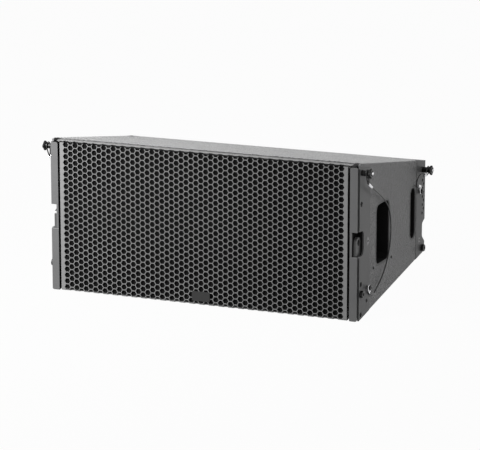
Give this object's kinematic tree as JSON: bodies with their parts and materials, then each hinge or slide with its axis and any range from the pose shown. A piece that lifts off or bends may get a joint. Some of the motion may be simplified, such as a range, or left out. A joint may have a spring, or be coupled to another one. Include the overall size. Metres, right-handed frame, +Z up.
{
  "type": "line array loudspeaker",
  "caption": "Wedge-shaped line array loudspeaker with hexagon grille, hand grips, slide-down rigging links and quick-release pins on lanyards.",
  "frame": {"origin": "middle of the bounding box of the cabinet at the level of its underside", "axes": "+Z up, +X to the right seen from the front, the grille faces -Y and leans back by half the wedge"},
  "size_m": [0.6816, 0.3984, 0.2942],
  "materials": {
    "textured_coating": "birch plywood under a sprayed textured polyurea coating, satin black",
    "plywood": "birch plywood, painted flat black",
    "powder_coated_steel": "fine black powder coat",
    "black_steel": "black oxide, satin",
    "zinc_steel": "bright zinc plate",
    "wire_rope": "black coated wire rope",
    "black_plastic": "moulded, matt",
    "badge_metal": "blank plate, satin black",
    "acoustic_foam": "open-cell acoustic foam",
    "paper_cone": "coated paper cone and cloth surround",
    "magnet_steel": "steel plates over a ferrite ring",
    "basket_metal": "cast aluminium, painted"
  },
  "bodies": {
    "cabinet": {"badge_plate": "badge_metal", "bottom_panel": "textured_coating", "compression_driver": "magnet_steel", "connector_plate": "powder_coated_steel", "front_anchor_eye_left": "zinc_steel", "front_anchor_eye_right": "zinc_steel", "front_baffle": "plywood", "front_grille": "powder_coated_steel", "front_grip_left": "black_plastic", "front_grip_right": "black_plastic", "front_lanyard_anchor_left": "black_steel", "front_lanyard_anchor_right": "black_steel", "front_lanyard_left": "wire_rope", "front_lanyard_right": "wire_rope", "front_link_bolt_left": "black_steel", "front_link_bolt_right": "black_steel", "front_pin_eye_left": "zinc_steel", "front_pin_eye_right": "zinc_steel", "front_rigging_plate_left": "powder_coated_steel", "front_rigging_plate_right": "powder_coated_steel", "grille_foam": "acoustic_foam", "input_socket": "black_plastic", "link_socket": "black_plastic", "rear_anchor_eye_left": "zinc_steel", "rear_anchor_eye_right": "zinc_steel", "rear_grip_left": "black_plastic", "rear_grip_right": "black_plastic", "rear_lanyard_anchor_left": "black_steel", "rear_lanyard_anchor_right": "black_steel", "rear_lanyard_left": "wire_rope", "rear_lanyard_right": "wire_rope", "rear_link_bolt_left": "black_steel", "rear_link_bolt_right": "black_steel", "rear_panel": "textured_coating", "rear_pin_eye_left": "zinc_steel", "rear_pin_eye_right": "zinc_steel", "rear_rigging_plate_left": "powder_coated_steel", "rear_rigging_plate_right": "powder_coated_steel", "side_panel_left": "textured_coating", "side_panel_right": "textured_coating", "top_panel": "textured_coating", "waveguide": "black_plastic", "woofer_basket_left": "basket_metal", "woofer_basket_right": "basket_metal", "woofer_cone_left": "paper_cone", "woofer_cone_right": "paper_cone", "woofer_magnet_left": "magnet_steel", "woofer_magnet_right": "magnet_steel"},
    "front_link_right": {"front_link_right": "black_steel"},
    "front_pin_right": {"front_pin_right": "black_steel"},
    "front_pin_button_right": {"front_pin_button_right": "zinc_steel"},
    "rear_link_right": {"rear_link_right": "black_steel"},
    "rear_pin_right": {"rear_pin_right": "black_steel"},
    "rear_pin_button_right": {"rear_pin_button_right": "zinc_steel"},
    "front_link_left": {"front_link_left": "black_steel"},
    "front_pin_left": {"front_pin_left": "black_steel"},
    "front_pin_button_left": {"front_pin_button_left": "zinc_steel"},
    "rear_link_left": {"rear_link_left": "black_steel"},
    "rear_pin_left": {"rear_pin_left": "black_steel"},
    "rear_pin_button_left": {"rear_pin_button_left": "zinc_steel"}
  },
  "joints": [
    {"name": "front_link_slide_right", "type": "slide", "parent": "cabinet", "child": "front_link_right", "axis": [0, -0.1583, -0.9874], "range_m": [0, 0.034]},
    {"name": "front_pin_pull_right", "type": "slide", "parent": "cabinet", "child": "front_pin_right", "axis": [1, 0, 0], "range_m": [0, 0.0135]},
    {"name": "front_pin_button_press_right", "type": "slide", "parent": "front_pin_right", "child": "front_pin_button_right", "axis": [-1, 0, 0], "range_m": [0, 0.003], "stiffness_N_per_m": 600},
    {"name": "rear_link_slide_right", "type": "slide", "parent": "cabinet", "child": "rear_link_right", "axis": [0, -0.1583, -0.9874], "range_m": [0, 0.048]},
    {"name": "rear_pin_pull_right", "type": "slide", "parent": "cabinet", "child": "rear_pin_right", "axis": [1, 0, 0], "range_m": [0, 0.0135]},
    {"name": "rear_pin_button_press_right", "type": "slide", "parent": "rear_pin_right", "child": "rear_pin_button_right", "axis": [-1, 0, 0], "range_m": [0, 0.003], "stiffness_N_per_m": 600},
    {"name": "front_link_slide_left", "type": "slide", "parent": "cabinet", "child": "front_link_left", "axis": [0, -0.1583, -0.9874], "range_m": [0, 0.034]},
    {"name": "front_pin_pull_left", "type": "slide", "parent": "cabinet", "child": "front_pin_left", "axis": [-1, 0, 0], "range_m": [0, 0.0135]},
    {"name": "front_pin_button_press_left", "type": "slide", "parent": "front_pin_left", "child": "front_pin_button_left", "axis": [1, 0, 0], "range_m": [0, 0.003], "stiffness_N_per_m": 600},
    {"name": "rear_link_slide_left", "type": "slide", "parent": "cabinet", "child": "rear_link_left", "axis": [0, -0.1583, -0.9874], "range_m": [0, 0.048]},
    {"name": "rear_pin_pull_left", "type": "slide", "parent": "cabinet", "child": "rear_pin_left", "axis": [-1, 0, 0], "range_m": [0, 0.0135]},
    {"name": "rear_pin_button_press_left", "type": "slide", "parent": "rear_pin_left", "child": "rear_pin_button_left", "axis": [1, 0, 0], "range_m": [0, 0.003], "stiffness_N_per_m": 600}
  ]
}
